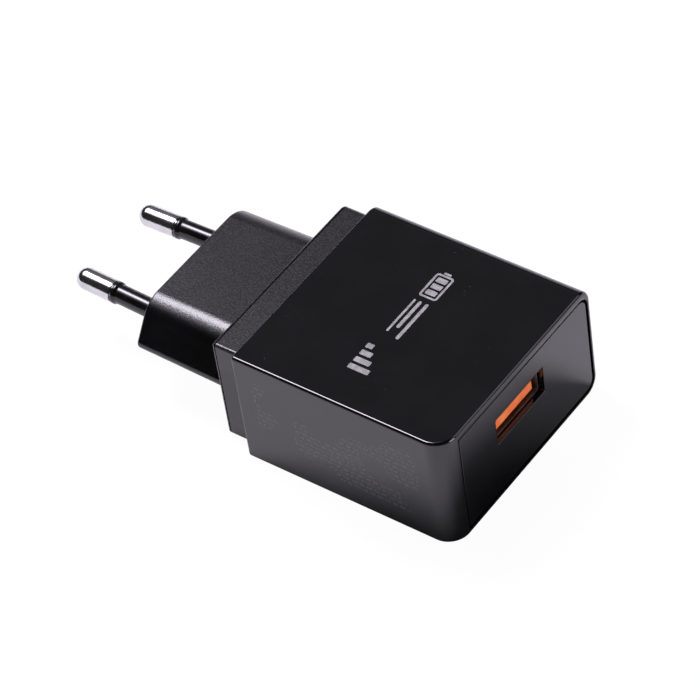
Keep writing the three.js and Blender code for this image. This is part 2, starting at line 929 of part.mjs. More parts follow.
for (const [x, word, material] of [[-2.5, "positive", wireRed], [2.5, "negative", wireBlack]]) {
  const route = [
    [transformerX + x, transformerY - half(coreLength) + 1.6, outputLeadZ],
    [transformerX + x, transformerY - half(coreLength) - 0.6, outputLeadZ + 0.3],
    [transformerX + x, outputBoardBack + fitGap + 0.6, outputLeadZ],
    [transformerX + x, outputBoardBack + fitGap, outputLeadZ],
  ];
  add("output_lead_" + word, wire(route, outputLeadDiameter), material);
}

export default charger;
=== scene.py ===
import json
import math

import bmesh
import bpy
from mathutils import Matrix, Vector


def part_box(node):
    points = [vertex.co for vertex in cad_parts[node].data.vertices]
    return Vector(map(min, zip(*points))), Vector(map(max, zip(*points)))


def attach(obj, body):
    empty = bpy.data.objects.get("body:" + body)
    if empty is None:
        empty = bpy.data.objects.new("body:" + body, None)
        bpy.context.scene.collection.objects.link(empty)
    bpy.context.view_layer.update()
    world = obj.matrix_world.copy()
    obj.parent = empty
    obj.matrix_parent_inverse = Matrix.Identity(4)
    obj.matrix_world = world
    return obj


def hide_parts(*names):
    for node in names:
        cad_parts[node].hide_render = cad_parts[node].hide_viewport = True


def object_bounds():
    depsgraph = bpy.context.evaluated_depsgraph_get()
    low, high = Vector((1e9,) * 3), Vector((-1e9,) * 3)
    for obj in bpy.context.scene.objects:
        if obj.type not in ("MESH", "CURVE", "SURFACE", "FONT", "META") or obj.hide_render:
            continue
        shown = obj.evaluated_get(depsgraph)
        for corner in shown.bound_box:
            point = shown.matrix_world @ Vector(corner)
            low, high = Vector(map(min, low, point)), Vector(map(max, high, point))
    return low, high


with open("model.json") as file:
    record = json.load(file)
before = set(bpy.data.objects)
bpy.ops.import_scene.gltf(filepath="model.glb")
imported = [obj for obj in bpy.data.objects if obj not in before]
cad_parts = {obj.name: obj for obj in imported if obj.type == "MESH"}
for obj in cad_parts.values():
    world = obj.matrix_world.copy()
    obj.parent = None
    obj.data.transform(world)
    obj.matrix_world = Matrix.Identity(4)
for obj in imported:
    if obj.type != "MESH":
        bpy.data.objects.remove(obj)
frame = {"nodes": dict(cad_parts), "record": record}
cadLow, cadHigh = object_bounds()
print("frame loaded:", len(frame["nodes"]), "nodes")

scene = bpy.context.scene
millimetre = 0.001
tiny = 0.01  # mm, the slack when two places are compared
mergeReach = 0.001  # mm, points closer than this become one
cutReach = 1e-4
alongShare = 0.95  # how closely an edge has to follow an axis
facingShare = 0.99  # how squarely a face has to look along an axis

# Shapes are made in millimetres, with y counted from the shell's front face.
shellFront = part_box("main_shell")[0].y / millimetre


def limitsOf(node):
    # a CAD node's lowest and highest corners, in the units and origin used below
    shift = Vector((0, shellFront, 0))
    return [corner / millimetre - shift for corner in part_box(node)]


def startBlock(left, right, front, back, low, high):
    bm = bmesh.new()
    addBlock(bm, left, right, front, back, low, high)
    return bm


def addBlock(bm, left, right, front, back, low, high):
    made = bmesh.ops.create_cube(bm, size=1)["verts"]
    bmesh.ops.scale(bm, vec=(right - left, back - front, high - low), verts=made)
    middle = ((left + right) / 2, (front + back) / 2, (low + high) / 2)
    bmesh.ops.translate(bm, vec=middle, verts=made)


def merge(bm, part):
    # adds a finished lump to a piece
    mesh = bpy.data.meshes.new("lump")
    part.to_mesh(mesh)
    part.free()
    bm.from_mesh(mesh)
    bpy.data.meshes.remove(mesh)


def middleOf(edge):
    return (edge.verts[0].co + edge.verts[1].co) / 2


def runsAlong(edge, axis):
    way = edge.verts[1].co - edge.verts[0].co
    return abs(way[axis]) > alongShare * way.length


def looksAlong(face, axis, sign):
    return face.normal[axis] * sign > facingShare


def roundOff(bm, edges, radius, segments):
    bmesh.ops.bevel(
        bm,
        geom=list(edges),
        offset=radius,
        offset_type="OFFSET",
        segments=segments,
        profile=0.5,
        affect="EDGES",
        clamp_overlap=True,
        material=-1,
    )


def sharpEdges(bm, test=None, degrees=45):
    found = [e for e in bm.edges if len(e.link_faces) == 2]
    found = [e for e in found if e.calc_face_angle(0) > math.radians(degrees)]
    return [e for e in found if test is None or test(middleOf(e))]


def facing(bm, axis, sign):
    # the biggest face that looks along an axis
    looking = [f for f in bm.faces if looksAlong(f, axis, sign)]
    return max(looking, key=lambda f: f.calc_area())


def pullFace(bm, face, move=(0, 0, 0)):
    # extrudes one face and gives back the new one
    made = bmesh.ops.extrude_face_region(bm, geom=[face])["geom"]
    if face.is_valid:
        bmesh.ops.delete(bm, geom=[face], context="FACES_ONLY")
    verts = [g for g in made if isinstance(g, bmesh.types.BMVert)]
    bmesh.ops.translate(bm, vec=move, verts=verts)
    return next(g for g in made if isinstance(g, bmesh.types.BMFace))


def fitFace(face, left, right, low, high):
    # stretches a face that looks along y to new limits
    xs = [v.co.x for v in face.verts]
    zs = [v.co.z for v in face.verts]
    for v in face.verts:
        v.co.x = left + (v.co.x - min(xs)) * (right - left) / (max(xs) - min(xs))
        v.co.z = low + (v.co.z - min(zs)) * (high - low) / (max(zs) - min(zs))


def openThrough(bm, first, second):
    # takes two faces away and joins the holes that they leave
    edges = [*first.edges, *second.edges]
    bmesh.ops.delete(bm, geom=[first, second], context="FACES_ONLY")
    bmesh.ops.bridge_loops(bm, edges=edges)


def cutAcross(bm, axis, places):
    for place in places:
        point, normal = Vector(), Vector()
        point[axis] = place
        normal[axis] = 1
        everything = [*bm.verts, *bm.edges, *bm.faces]
        bmesh.ops.bisect_plane(
            bm, geom=everything, plane_co=point, plane_no=normal, dist=cutReach
        )


def finishPiece(bm, name, nodes, material, crease=38):
    bmesh.ops.remove_doubles(bm, verts=bm.verts, dist=mergeReach)
    bmesh.ops.recalc_face_normals(bm, faces=bm.faces)
    for face in bm.faces:
        face.smooth = True
    for edge in bm.edges:
        edge.smooth = edge.calc_face_angle(0) < math.radians(crease)
    bmesh.ops.translate(bm, vec=(0, shellFront, 0), verts=bm.verts)
    bmesh.ops.scale(bm, vec=(millimetre,) * 3, verts=bm.verts)
    mesh = bpy.data.meshes.new(name)
    bm.to_mesh(mesh)
    bm.free()
    mesh.materials.append(material)
    piece = bpy.data.objects.new(name, mesh)
    scene.collection.objects.link(piece)
    flat = piece.modifiers.new("flatFaces", "WEIGHTED_NORMAL")
    flat.keep_sharp = True
    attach(piece, "root")
    if nodes:
        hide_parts(*nodes)


def newGroup(name, inputs, outputs):
    group = bpy.data.node_groups.new(name, "ShaderNodeTree")
    for label, kind in inputs:
        group.interface.new_socket(label, in_out="INPUT", socket_type=kind)
    for label, kind in outputs:
        group.interface.new_socket(label, in_out="OUTPUT", socket_type=kind)
    start = group.nodes.new("NodeGroupInput")
    end = group.nodes.new("NodeGroupOutput")
    return group, start.outputs, end.inputs


def addNode(tree, kind, **settings):
    node = tree.nodes.new(kind)
    for key, value in settings.items():
        setattr(node, key, value)
    return node


def feed(tree, socket, given):
    # links a socket, or sets a constant on it
    if isinstance(given, bpy.types.NodeSocket):
        tree.links.new(given, socket)
    else:
        socket.default_value = given


def maths(tree, operation, *values):
    node = addNode(tree, "ShaderNodeMath", operation=operation)
    for socket, value in zip(node.inputs, values):
        feed(tree, socket, value)
    return node.outputs[0]


def spread(tree, value, fromLow, fromHigh, toLow, toHigh):
    node = addNode(tree, "ShaderNodeMapRange", interpolation_type="SMOOTHSTEP")
    for key, given in {
        "Value": value,
        "From Min": fromLow,
        "From Max": fromHigh,
        "To Min": toLow,
        "To Max": toHigh,
    }.items():
        feed(tree, node.inputs[key], given)
    return node.outputs["Result"]


def blendColours(tree, share, first, second):
    node = addNode(tree, "ShaderNodeMix", data_type="RGBA")
    for index, given in ((0, share), (6, first), (7, second)):
        feed(tree, node.inputs[index], given)
    return node.outputs[2]


cloudLook = {"detail": 5, "colourSpan": (0.35, 0.68), "polishSpan": (0.3, 0.75)}


def makeCloudGroup():
    # slow drifts of colour and polish over a moulding
    group, given, result = newGroup(
        "cloudyFinish",
        [
            ("Vector", "NodeSocketVector"),
            ("Scale", "NodeSocketFloat"),
            ("Dark", "NodeSocketColor"),
            ("Light", "NodeSocketColor"),
            ("Polished", "NodeSocketFloat"),
            ("Dull", "NodeSocketFloat"),
        ],
        [("Colour", "NodeSocketColor"), ("Roughness", "NodeSocketFloat")],
    )
    noise = addNode(group, "ShaderNodeTexNoise")
    noise.inputs["Detail"].default_value = cloudLook["detail"]
    group.links.new(given["Vector"], noise.inputs["Vector"])
    group.links.new(given["Scale"], noise.inputs["Scale"])
    drift = noise.outputs["Fac"]
    cloud = spread(group, drift, *cloudLook["colourSpan"], 0, 1)
    colour = blendColours(group, cloud, given["Dark"], given["Light"])
    polish = spread(group, drift, *cloudLook["polishSpan"], given["Polished"], given["Dull"])
    group.links.new(colour, result["Colour"])
    group.links.new(polish, result["Roughness"])
    return group


sparkLook = {"detail": 3, "roughness": 0.65, "pitDepth": -0.5, "fleckSpan": (0.2, 0.42)}


def makeGrainGroup():
    # spark-eroded mould texture: small rounded pits between raised lands
    group, given, result = newGroup(
        "sparkGrain",
        [("Vector", "NodeSocketVector"), ("Scale", "NodeSocketFloat")],
        [("Height", "NodeSocketFloat"), ("Fleck", "NodeSocketFloat")],
    )
    coarse = addNode(group, "ShaderNodeTexNoise")
    coarse.inputs["Detail"].default_value = sparkLook["detail"]
    coarse.inputs["Roughness"].default_value = sparkLook["roughness"]
    cells = addNode(group, "ShaderNodeTexVoronoi", feature="SMOOTH_F1")
    for node in (coarse, cells):
        group.links.new(given["Vector"], node.inputs["Vector"])
        group.links.new(given["Scale"], node.inputs["Scale"])
    pits, lands = cells.outputs["Distance"], coarse.outputs["Fac"]
    height = maths(group, "MULTIPLY_ADD", pits, sparkLook["pitDepth"], lands)
    fleck = spread(group, height, *sparkLook["fleckSpan"], 0, 1)
    group.links.new(height, result["Height"])
    group.links.new(fleck, result["Fleck"])
    return group


dustLook = {"patchScale": 90, "patchSpan": (0.52, 0.7)}


def makeDustGroup():
    # sparse fine specks that settle on a polished face
    group, given, result = newGroup(
        "fineDust",
        [
            ("Vector", "NodeSocketVector"),
            ("Scale", "NodeSocketFloat"),
            ("Size", "NodeSocketFloat"),
        ],
        [("Mask", "NodeSocketFloat")],
    )
    cells = addNode(group, "ShaderNodeTexVoronoi")
    patches = addNode(group, "ShaderNodeTexNoise")
    patches.inputs["Scale"].default_value = dustLook["patchScale"]
    group.links.new(given["Vector"], cells.inputs["Vector"])
    group.links.new(given["Vector"], patches.inputs["Vector"])
    group.links.new(given["Scale"], cells.inputs["Scale"])
    speck = maths(group, "LESS_THAN", cells.outputs["Distance"], given["Size"])
    some = spread(group, patches.outputs["Fac"], *dustLook["patchSpan"], 0, 1)
    group.links.new(maths(group, "MULTIPLY", speck, some), result["Mask"])
    return group


metalLook = {"lineDetail": 4, "cloudScale": 350, "lineDulling": 0.08}


def makeDrawnGroup():
    # long fine lines left by drawing, rolling or brushing metal
    group, given, result = newGroup(
        "drawnLines",
        [("Vector", "NodeSocketVector"), ("Stretch", "NodeSocketVector")],
        [("Height", "NodeSocketFloat")],
    )
    mapping = addNode(group, "ShaderNodeMapping")
    group.links.new(given["Vector"], mapping.inputs["Vector"])
    group.links.new(given["Stretch"], mapping.inputs["Scale"])
    lines = addNode(group, "ShaderNodeTexNoise")
    lines.inputs["Scale"].default_value = 1
    lines.inputs["Detail"].default_value = metalLook["lineDetail"]
    group.links.new(mapping.outputs["Vector"], lines.inputs["Vector"])
    group.links.new(lines.outputs["Fac"], result["Height"])
    return group


cloudGroup = makeCloudGroup()
grainGroup = makeGrainGroup()
dustGroup = makeDustGroup()
drawnGroup = makeDrawnGroup()


def place(tree, group, **values):
    node = addNode(tree, "ShaderNodeGroup", node_tree=group)
    for key, value in values.items():
        feed(tree, node.inputs[key], value)
    return node.outputs


def placeCloud(tree, where, scale, dark, light, polished, dull):
    return place(
        tree,
        cloudGroup,
        Vector=where,
        Scale=scale,
        Dark=dark,
        Light=light,
        Polished=polished,
        Dull=dull,
    )


def startMaterial(name, **constants):
    material = bpy.data.materials.new(name)
    material.use_nodes = True
    tree = material.node_tree
    tree.nodes.clear()
    end = addNode(tree, "ShaderNodeOutputMaterial")
    shader = addNode(tree, "ShaderNodeBsdfPrincipled")
    tree.links.new(shader.outputs["BSDF"], end.inputs["Surface"])
    where = addNode(tree, "ShaderNodeTexCoord").outputs["Object"]
    for key, value in constants.items():
        shader.inputs[key.replace("_", " ")].default_value = value
    return material, tree, shader.inputs, where


def shadeOf(value, tint=(1, 1, 1)):
    return (*(value * t for t in tint), 1)


def raiseSurface(tree, height, target, depth):
    bump = addNode(tree, "ShaderNodeBump")
    bump.inputs["Distance"].default_value = depth * millimetre
    bump.inputs["Strength"].default_value = 1
    tree.links.new(height, bump.inputs["Height"])
    tree.links.new(bump.outputs["Normal"], target)


ratingLook = {
    "shade": shadeOf(0.04),
    "dulling": 0.12,
    "dashLength": 1.5,
    "rowHeight": 1.05,
    "gap": 0.3,
    "softness": 0.2,
    "rowShift": 0.37,
    "squash": 0.7,
    "squashEvery": 3,
    "patchScale": 160,
    "patchFrom": 0.5,
    "sideDepth": 0.2,
    "front": 6.0,
    "back": 38.5,
    "low": 4.0,
    "high": 19.5,
}


def ratingMarks(tree, where):
    # faint laser-marked rows of plain dashes on the shell's flat side
    look = ratingLook
    axes = addNode(tree, "ShaderNodeSeparateXYZ")
    tree.links.new(where, axes.inputs["Vector"])
    turned = addNode(tree, "ShaderNodeCombineXYZ")
    tree.links.new(axes.outputs["Y"], turned.inputs["X"])
    tree.links.new(axes.outputs["Z"], turned.inputs["Y"])
    rows = addNode(
        tree,
        "ShaderNodeTexBrick",
        offset=look["rowShift"],
        squash=look["squash"],
        squash_frequency=look["squashEvery"],
    )
    rows.inputs["Scale"].default_value = 1
    rows.inputs["Brick Width"].default_value = look["dashLength"] * millimetre
    rows.inputs["Row Height"].default_value = look["rowHeight"] * millimetre
    rows.inputs["Mortar Size"].default_value = look["gap"] * millimetre
    rows.inputs["Mortar Smooth"].default_value = look["softness"]
    tree.links.new(turned.outputs["Vector"], rows.inputs["Vector"])
    mask = maths(tree, "SUBTRACT", 1, rows.outputs["Fac"])
    patches = addNode(tree, "ShaderNodeTexNoise")
    patches.inputs["Scale"].default_value = look["patchScale"]
    patches.inputs["Detail"].default_value = 0
    tree.links.new(where, patches.inputs["Vector"])
    limits = [
        ("GREATER_THAN", patches.outputs["Fac"], look["patchFrom"]),
        ("LESS_THAN", axes.outputs["X"], cadLow.x + look["sideDepth"] * millimetre),
        ("GREATER_THAN", axes.outputs["Y"], (shellFront + look["front"]) * millimetre),
        ("LESS_THAN", axes.outputs["Y"], (shellFront + look["back"]) * millimetre),
        ("GREATER_THAN", axes.outputs["Z"], look["low"] * millimetre),
        ("LESS_THAN", axes.outputs["Z"], look["high"] * millimetre),
    ]
    for operation, value, limit in limits:
        mask = maths(tree, "MULTIPLY", mask, maths(tree, operation, value, limit))
    return mask


glossLook = {
    "dark": shadeOf(0.0018, (1.0, 0.95, 1.15)),
    "light": shadeOf(0.0032, (1.0, 0.95, 1.15)),
    "polished": 0.03,
    "dull": 0.065,
    "cloudScale": 120,
    "index": 1.58,
    "ripple": 0.0016,
    "rippleScale": 140,
    "dustScale": 900,
    "dustSize": 0.09,
    "dustShade": shadeOf(0.02),
    "dustDulling": 0.3,
}


def polishedPlastic(name, marked=False):
    look = glossLook
    material, tree, shader, where = startMaterial(name, IOR=look["index"])
    cloud = placeCloud(
        tree, where, look["cloudScale"], look["dark"], look["light"], look["polished"], look["dull"]
    )
    dust = place(tree, dustGroup, Vector=where, Scale=look["dustScale"], Size=look["dustSize"])
    colour = blendColours(tree, dust["Mask"], cloud["Colour"], look["dustShade"])
    roughness = maths(tree, "MULTIPLY_ADD", dust["Mask"], look["dustDulling"], cloud["Roughness"])
    if marked:
        marks = ratingMarks(tree, where)
        colour = blendColours(tree, marks, colour, ratingLook["shade"])
        roughness = maths(tree, "MULTIPLY_ADD", marks, ratingLook["dulling"], roughness)
    tree.links.new(colour, shader["Base Color"])
    tree.links.new(roughness, shader["Roughness"])
    ripple = addNode(tree, "ShaderNodeTexNoise")
    ripple.inputs["Scale"].default_value = look["rippleScale"]
    ripple.inputs["Detail"].default_value = 1
    tree.links.new(where, ripple.inputs["Vector"])
    raiseSurface(tree, ripple.outputs["Fac"], shader["Normal"], look["ripple"])
    return material


grainLook = {
    "dark": shadeOf(0.0012, (1.0, 0.97, 1.1)),
    "light": shadeOf(0.0026, (1.0, 0.97, 1.1)),
    # a painted sheen: the paler colour given to the grain where the plug is textured
    "paintedSheen": shadeOf(0.024, (1.0, 0.97, 1.06)),
    "leastFleck": 0.35,
    "smoothSide": 0.2,
    "texturedTop": 0.25,
    # the two roughnesses above are multiplied by a drift between these
    "polished": 0.97,
    "dull": 1.06,
    "cloudScale": 70,
    "scale": 3200,
    "depth": 0.022,
    "leastRelief": 0.1,
    "index": 1.5,
    # where the texture fades, in mm: up from the pins' axis, behind the collar, in from its side
    "slantSpan": (5.4, 6.5),
    "collarSpan": (4.5, 5.0),
    "sideSpan": (0.6, 1.2),
}


def inMetres(span, start=0.0):
    return [start + value * millimetre for value in span]


def texturedPlastic(name):
    # the mould texture fades out down the slanted sides, which are nearly smooth
    look = grainLook
    material, tree, shader, where = startMaterial(name, IOR=look["index"])
    grain = place(tree, grainGroup, Vector=where, Scale=look["scale"])
    cloud = placeCloud(
        tree, where, look["cloudScale"], look["dark"], look["light"], look["polished"], look["dull"]
    )
    axes = addNode(tree, "ShaderNodeSeparateXYZ")
    tree.links.new(where, axes.inputs["Vector"])
    pinLow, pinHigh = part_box("pin_left")
    pinHeight = (pinLow.z + pinHigh.z) / 2
    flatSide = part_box("plug_housing")[0].x
    fromPins = maths(tree, "ABSOLUTE", maths(tree, "SUBTRACT", axes.outputs["Z"], pinHeight))
    onPlug = spread(tree, fromPins, *inMetres(look["slantSpan"]), 0, 1)
    onCollar = spread(tree, axes.outputs["Y"], *inMetres(look["collarSpan"]), 1, 0)
    inside = spread(tree, axes.outputs["X"], *inMetres(look["sideSpan"], flatSide), 0, 1)
    amount = maths(tree, "MAXIMUM", onPlug, maths(tree, "MULTIPLY", onCollar, inside))
    base = spread(tree, amount, 0, 1, look["smoothSide"], look["texturedTop"])
    # painted sheen: the grain's flecks get a paler colour that stands in for the light the texture
    # scatters, so it looks paler than the smooth sides
    fleck = spread(tree, grain["Fleck"], 0, 1, look["leastFleck"], 1)
    fleck = maths(tree, "MULTIPLY", amount, fleck)
    colour = blendColours(tree, fleck, cloud["Colour"], look["paintedSheen"])
    tree.links.new(colour, shader["Base Color"])
    tree.links.new(maths(tree, "MULTIPLY", base, cloud["Roughness"]), shader["Roughness"])
    least = look["leastRelief"]
    relief = maths(tree, "MULTIPLY_ADD", amount, 1 - least, least)
    relief = maths(tree, "MULTIPLY", grain["Height"], relief)
    raiseSurface(tree, relief, shader["Normal"], look["depth"])
    return material


def plainPlastic(
    name, dark, light, polished, dull, scale=200, grain=0.0, grainScale=2500, **constants
):
    material, tree, shader, where = startMaterial(name, **constants)
    cloud = placeCloud(tree, where, scale, dark, light, polished, dull)
    tree.links.new(cloud["Colour"], shader["Base Color"])
    tree.links.new(cloud["Roughness"], shader["Roughness"])
    if grain:
        pits = place(tree, grainGroup, Vector=where, Scale=grainScale)
        raiseSurface(tree, pits["Height"], shader["Normal"], grain)
    return material


def drawnMetal(name, dark, light, polished, dull, stretch, depth):
    look = metalLook
    material, tree, shader, where = startMaterial(name, Metallic=1.0)
    cloud = placeCloud(tree, where, look["cloudScale"], dark, light, polished, dull)
    lines = place(tree, drawnGroup, Vector=where, Stretch=stretch)
    tree.links.new(cloud["Colour"], shader["Base Color"])
    scratched = maths(
        tree, "MULTIPLY_ADD", lines["Height"], look["lineDulling"], cloud["Roughness"]
    )
    tree.links.new(scratched, shader["Roughness"])
    raiseSurface(tree, lines["Height"], shader["Normal"], depth)
    return material


shellFinish = polishedPlastic("polishedShell", marked=True)
panelFinish = polishedPlastic("polishedPanel")
plugFinish = texturedPlastic("texturedPlug")
sleeveFinish = plainPlastic(
    "pinSleeveBlack",
    dark=shadeOf(0.003),
    light=shadeOf(0.006),
    polished=0.16,
    dull=0.24,
    IOR=1.52,
)
pinFinish = drawnMetal(
    "brightNickel",
    dark=shadeOf(0.56, (1.0, 0.995, 0.99)),
    light=shadeOf(0.66, (1.0, 0.995, 0.99)),
    polished=0.08,
    dull=0.15,
    stretch=(4000, 90, 4000),
    depth=0.0006,
)
steelFinish = drawnMetal(
    "platedSteel",
    dark=shadeOf(0.16),
    light=shadeOf(0.26),
    polished=0.24,
    dull=0.4,
    stretch=(2500, 120, 2500),
    depth=0.002,
)
goldFinish = drawnMetal(
    "contactGold",
    dark=shadeOf(0.75, (1.0, 0.7, 0.3)),
    light=shadeOf(0.9, (1.0, 0.74, 0.36)),
    polished=0.16,
    dull=0.28,
    stretch=(3000, 150, 3000),
    depth=0.001,
)
tongueFinish = plainPlastic(
    "orangeTongue",
    dark=(0.98, 0.2, 0.045, 1),
    light=(1.0, 0.27, 0.07, 1),
    polished=0.3,
    dull=0.42,
    scale=420,
    grain=0.004,
)
printFinish = plainPlastic(
    "paleInk",
    dark=shadeOf(0.22),
    light=shadeOf(0.34),
    polished=0.42,
    dull=0.6,
    scale=900,
    grain=0.003,
    grainScale=4000,
)
print("outside finishes made")


shellShape = {
    "half": 21.0,
    "length": 42.0,
    "top": 23.47,
    "frontCorner": 3.95,
    "softEdge": 3.0,
    "crispEdge": 0.55,
    "rim": 0.75,
    "mouthLeft": -17.02,
    "mouthTop": 21.98,
    "mouthDepth": 2.1,
    "rimEdge": 0.14,
    "wall": 1.8,
}


def makeShell():
    s = shellShape
    bm = startBlock(-s["half"], s["half"], 0, s["length"], 0, s["top"])
    upright = [e for e in bm.edges if runsAlong(e, 2)]
    nearLeft = [e for e in upright if middleOf(e).x < 0 and middleOf(e).y < tiny]
    roundOff(bm, nearLeft, s["frontCorner"], segments=20)
    along = [e for e in bm.edges if runsAlong(e, 1)]
    softSide = [e for e in along if middleOf(e).x > s["half"] - tiny]
    roundOff(bm, softSide, s["softEdge"], segments=14)
    roundOff(bm, sharpEdges(bm), s["crispEdge"], segments=5)
    bm.normal_update()

    # the mouth, its ledge and the room behind it
    front = facing(bm, 1, -1)
    inset = s["rim"] - s["crispEdge"]
    bmesh.ops.inset_region(bm, faces=[front], thickness=inset, use_even_offset=True)
    for v in front.verts:
        if v.co.x < 0:
            v.co.x = s["mouthLeft"]
        if v.co.z > s["top"] / 2:
            v.co.z -= s["top"] - s["rim"] - s["mouthTop"]
    mouthEdges = list(front.edges)
    ledge = pullFace(bm, front, (0, s["mouthDepth"], 0))
    room = pullFace(bm, ledge)
    inner = s["half"] - s["wall"]
    fitFace(room, -inner, inner, s["wall"], s["top"] - s["wall"])
    end = pullFace(bm, room, (0, s["length"] - s["mouthDepth"], 0))
    bm.normal_update()
    openThrough(bm, end, facing(bm, 1, 1))
    rim = [e for e in mouthEdges if e.is_valid and middleOf(e).x > s["mouthLeft"] + tiny]
    roundOff(bm, rim, s["rimEdge"], segments=2)
    finishPiece(bm, "shell_moulding", ["main_shell"], shellFinish)


makeShell()
print("shell made")


panelLow, panelHigh = limitsOf("front_panel")
panelShape = {
    "left": -16.5,
    "right": 19.95,
    "low": 1.05,
    "high": 21.42,
    "front": panelLow.y,
    "back": panelLow.y + 1.6,
    "softCorner": 1.95,
    "crispCorner": 0.4,
    "frontEdge": 0.12,
    "slotZ": 14.3,
    "slotHalf": (6.8, 2.8),
    "slotCorner": 0.3,
    "throatEnd": panelLow.y + 0.8,
    "pocketHalf": (6.75, 3.06),
    "bossHalf": (7.85, 3.85),
    "bossEnd": panelHigh.y,
    "sealStrip": (-16.96, -15.9, panelLow.y + 0.7, panelLow.y + 1.55, 1.2, 21.2),
}


def makePanel():
    s = panelShape
    bm = startBlock(s["left"], s["right"], s["front"], s["back"], s["low"], s["high"])
    along = [e for e in bm.edges if runsAlong(e, 1)]
    roundOff(bm, [e for e in along if middleOf(e).x > 0], s["softCorner"], segments=12)
    crisp = [e for e in along if e.is_valid and middleOf(e).x < 0]
    roundOff(bm, crisp, s["crispCorner"], segments=5)
    outline = sharpEdges(bm, lambda p: p.y < s["front"] + tiny)
    roundOff(bm, outline, s["frontEdge"], segments=3)
    bossX, bossZ = s["bossHalf"]
    cutAcross(bm, 0, (-bossX, bossX))
    cutAcross(bm, 2, (s["slotZ"] - bossZ, s["slotZ"] + bossZ))
    bm.normal_update()

    def middleFace(sign):
        centre = Vector((0, 0, s["slotZ"]))
        found = [f for f in bm.faces if looksAlong(f, 1, sign)]
        return min(found, key=lambda f: (f.calc_center_median() - centre).length)

    def insideBoss(edge):
        p = middleOf(edge)
        return abs(p.x) < bossX - tiny and abs(p.z - s["slotZ"]) < bossZ - tiny

    mouth, boss = middleFace(-1), middleFace(1)
    slotX, slotZ = s["slotHalf"]
    bmesh.ops.inset_region(bm, faces=[mouth], thickness=bossX - slotX, use_even_offset=True)
    fitFace(mouth, -slotX, slotX, s["slotZ"] - slotZ, s["slotZ"] + slotZ)
    throat = pullFace(bm, mouth, (0, s["throatEnd"] - s["front"], 0))
    pocket = pullFace(bm, throat)
    pocketX, pocketZ = s["pocketHalf"]
    fitFace(pocket, -pocketX, pocketX, s["slotZ"] - pocketZ, s["slotZ"] + pocketZ)
    end = pullFace(bm, pocket, (0, s["bossEnd"] - s["throatEnd"], 0))
    cap = pullFace(bm, boss, (0, s["bossEnd"] - s["back"], 0))
    openThrough(bm, end, cap)
    bm.normal_update()
    corners = [e for e in bm.edges if runsAlong(e, 1) and insideBoss(e)]
    corners = [e for e in corners if max(v.co.y for v in e.verts) < s["throatEnd"] + tiny]
    roundOff(bm, corners, s["slotCorner"], segments=4)
    lip = sharpEdges(bm, lambda p: abs(p.y - s["front"]) < tiny, degrees=25)
    roundOff(bm, [e for e in lip if insideBoss(e)], s["frontEdge"], segments=3)
    # a strip along the back closes the seam at the left
    addBlock(bm, *s["sealStrip"])
    finishPiece(
        bm, "front_panel_plate", ["front_panel"], panelFinish, crease=32
    )


makePanel()
print("front panel made")


collarShape = {
    "half": 19.0,
    "front": 42.3,
    "back": 47.5,
    "low": 0.8,
    "high": 22.05,
    "crispEdge": 0.6,
    "softEdge": 1.6,
    "endEdge": 0.5,
    "grooveFront": 46.78,
    "grooveBack": 47.0,
    "grooveDepth": 0.4,
    "spigot": (-18.9, 18.9, 2.1, 21.4),
    "spigotFront": 38.0,
    "spigotWall": 1.4,
    "roomEnd": 45.5,
}
plugShape = {
    "front": 47.3,
    "end": 66.5,
    "axisZ": 10.7,
    "flatHalf": 13.05,
    "waistHalf": 17.85,
    "rise": 7.05,
    "edge": 5.3,
    "waistEdge": 1.2,
    "draft": 0.35,
    "endEdge": 0.45,
    "boreRadius": 1.9,
    "boreDepth": 2.3,
    "boreSides": 40,
}
pinShape = {
    "pitch": 18.6,
    "tipPitch": 17.5,
    "radius": 2.0,
    "length": 19.0,
    "domeStep": 9,
    "sides": 56,
    # outlines to be turned: radius, then distance out of the plug's end
    "metal": [
        (0, -5.5),
        (1.2, -5.5),
        (1.2, 10.8),
        (1.75, 10.8),
        (1.75, 11.0),
        (1.94, 11.05),
        (2.0, 11.2),
    ],
    "sleeve": [
        (1.45, -2.2),
        (1.75, -2.2),
        (1.75, 9.55),
        (1.78, 9.9),
        (1.98, 10.15),
        (2.0, 10.35),
        (2.0, 10.68),
        (1.9, 10.8),
        (1.45, 10.8),
        (1.45, -2.2),
    ],
}


def addCollar(bm):
    s = collarShape
    part = startBlock(-s["half"], s["half"], s["front"], s["back"], s["low"], s["high"])
    along = [e for e in part.edges if runsAlong(e, 1)]
    roundOff(part, [e for e in along if middleOf(e).x > 0], s["softEdge"], segments=8)
    crisp = [e for e in along if e.is_valid and middleOf(e).x < 0]
    roundOff(part, crisp, s["crispEdge"], segments=5)
    roundOff(part, sharpEdges(part), s["endEdge"], segments=4)
    cutAcross(part, 1, (s["grooveFront"], s["grooveBack"]))
    part.normal_update()
    middle = (s["grooveFront"] + s["grooveBack"]) / 2
    groove = [f for f in part.faces if abs(f.calc_center_median().y - middle) < tiny]
    bmesh.ops.inset_region(part, faces=groove, thickness=0, depth=-s["grooveDepth"])
    spigot = pullFace(part, facing(part, 1, -1))
    fitFace(spigot, *s["spigot"])
    tip = pullFace(part, spigot, (0, s["spigotFront"] - s["front"], 0))
    bmesh.ops.inset_region(part, faces=[tip], thickness=s["spigotWall"], use_even_offset=True)
    pullFace(part, tip, (0, s["roomEnd"] - s["spigotFront"], 0))
    merge(bm, part)


